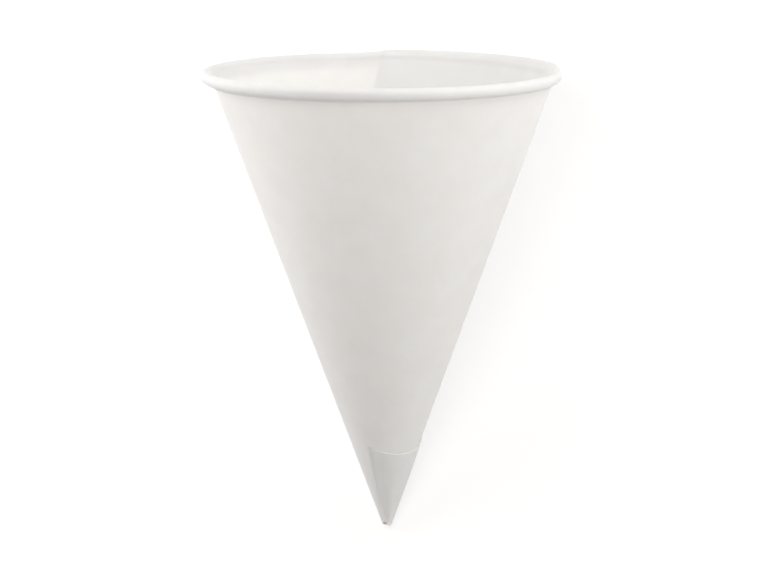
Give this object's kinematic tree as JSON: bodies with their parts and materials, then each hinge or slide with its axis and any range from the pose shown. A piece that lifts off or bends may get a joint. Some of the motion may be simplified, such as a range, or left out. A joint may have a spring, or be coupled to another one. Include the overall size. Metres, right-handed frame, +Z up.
{
  "type": "cone paper cup",
  "caption": "Cone-shaped paper drinking cup with a rolled rim, a lapped side seam and a pointed, wrapped tip; lies on its side when nothing holds it.",
  "frame": {"origin": "middle of the box's underside, on the floor that the lying cup rests on", "axes": "+Y along the floor from the tip towards the mouth, +Z up; the cup's own axis rises 21.6 degrees from +Y in the YZ plane"},
  "size_m": [0.0732, 0.1002, 0.0685],
  "materials": {
    "paper": "matt white, lightly waxed"
  },
  "bodies": {
    "root": {"cone_cup": "paper"}
  },
  "joints": []
}
